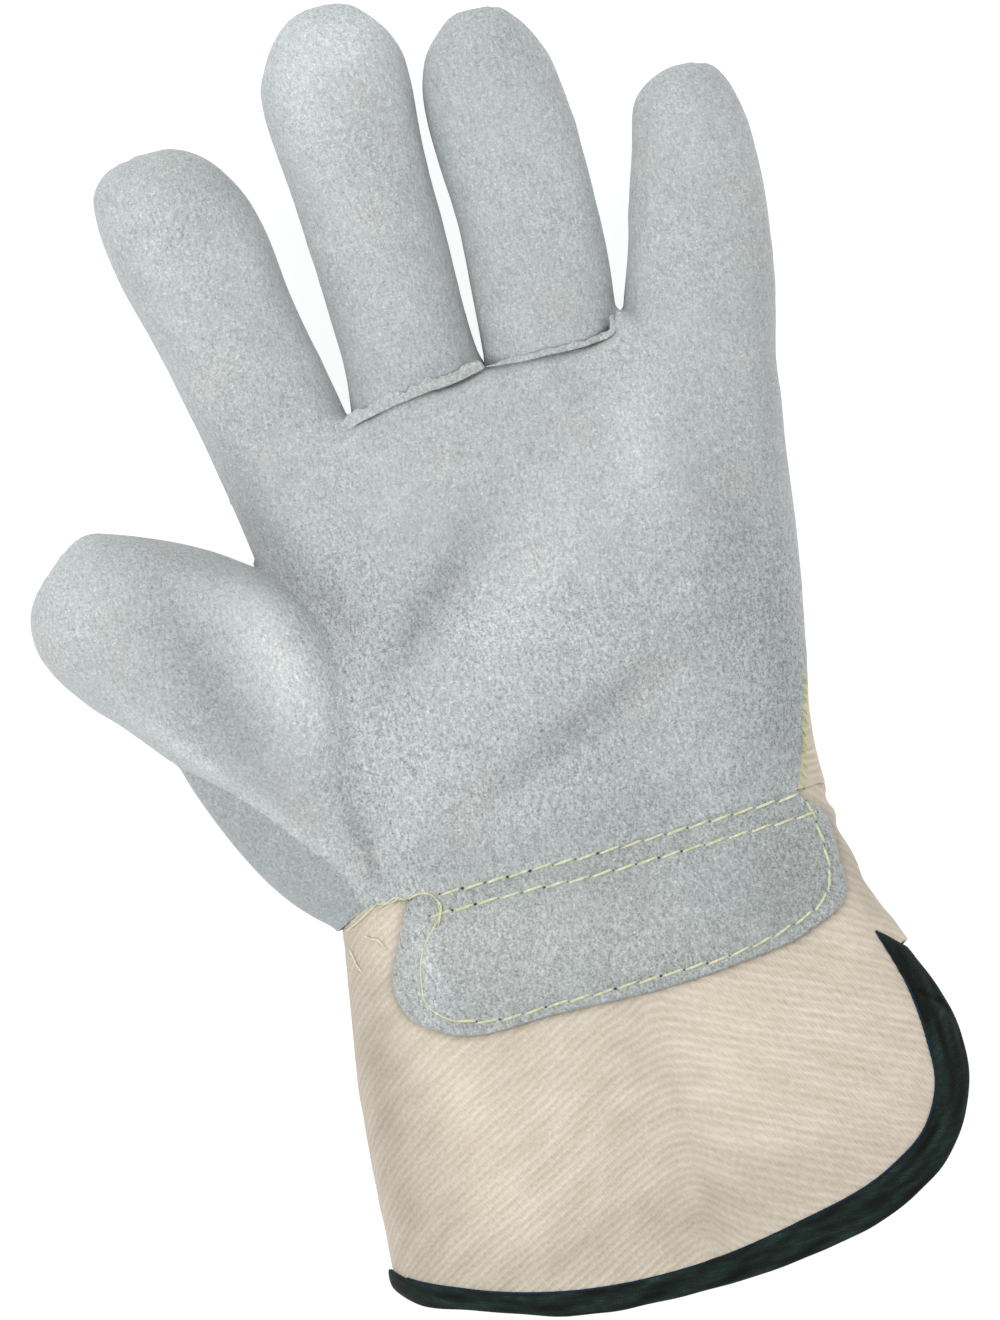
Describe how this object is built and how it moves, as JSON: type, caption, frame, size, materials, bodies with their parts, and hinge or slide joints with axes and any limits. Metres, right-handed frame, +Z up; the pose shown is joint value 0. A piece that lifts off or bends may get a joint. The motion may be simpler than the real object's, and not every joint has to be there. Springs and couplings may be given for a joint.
{
  "type": "rigger glove",
  "caption": "Left-hand work glove of split leather with a leather pulse patch and a wide canvas safety cuff bound along its hem.",
  "frame": {"origin": "middle of the overall box at its lowest face, which is the surface that the glove lies on", "axes": "+Y from the cuff's hem to the fingertips, +Z up out of the palm, +X across the hand away from the thumb"},
  "size_m": [0.1742, 0.284, 0.0432],
  "materials": {
    "leather": "suede split leather, pale bluish grey",
    "leather_edge": "cut suede edge of the seam welts, grey",
    "canvas": "twill cotton canvas, natural beige",
    "binding_tape": "woven tape, very dark green"
  },
  "bodies": {
    "root": {"palm": "leather", "thumb": "leather", "middle_front": "leather", "ring_front": "leather", "index_back": "leather", "middle_back": "leather", "ring_back": "leather", "little_back": "leather", "thumb_gusset": "leather", "pulse_patch": "leather", "middle_welt": "leather_edge", "ring_welt": "leather_edge", "back_of_hand": "canvas", "cuff": "canvas", "hem_binding": "binding_tape"}
  },
  "joints": []
}
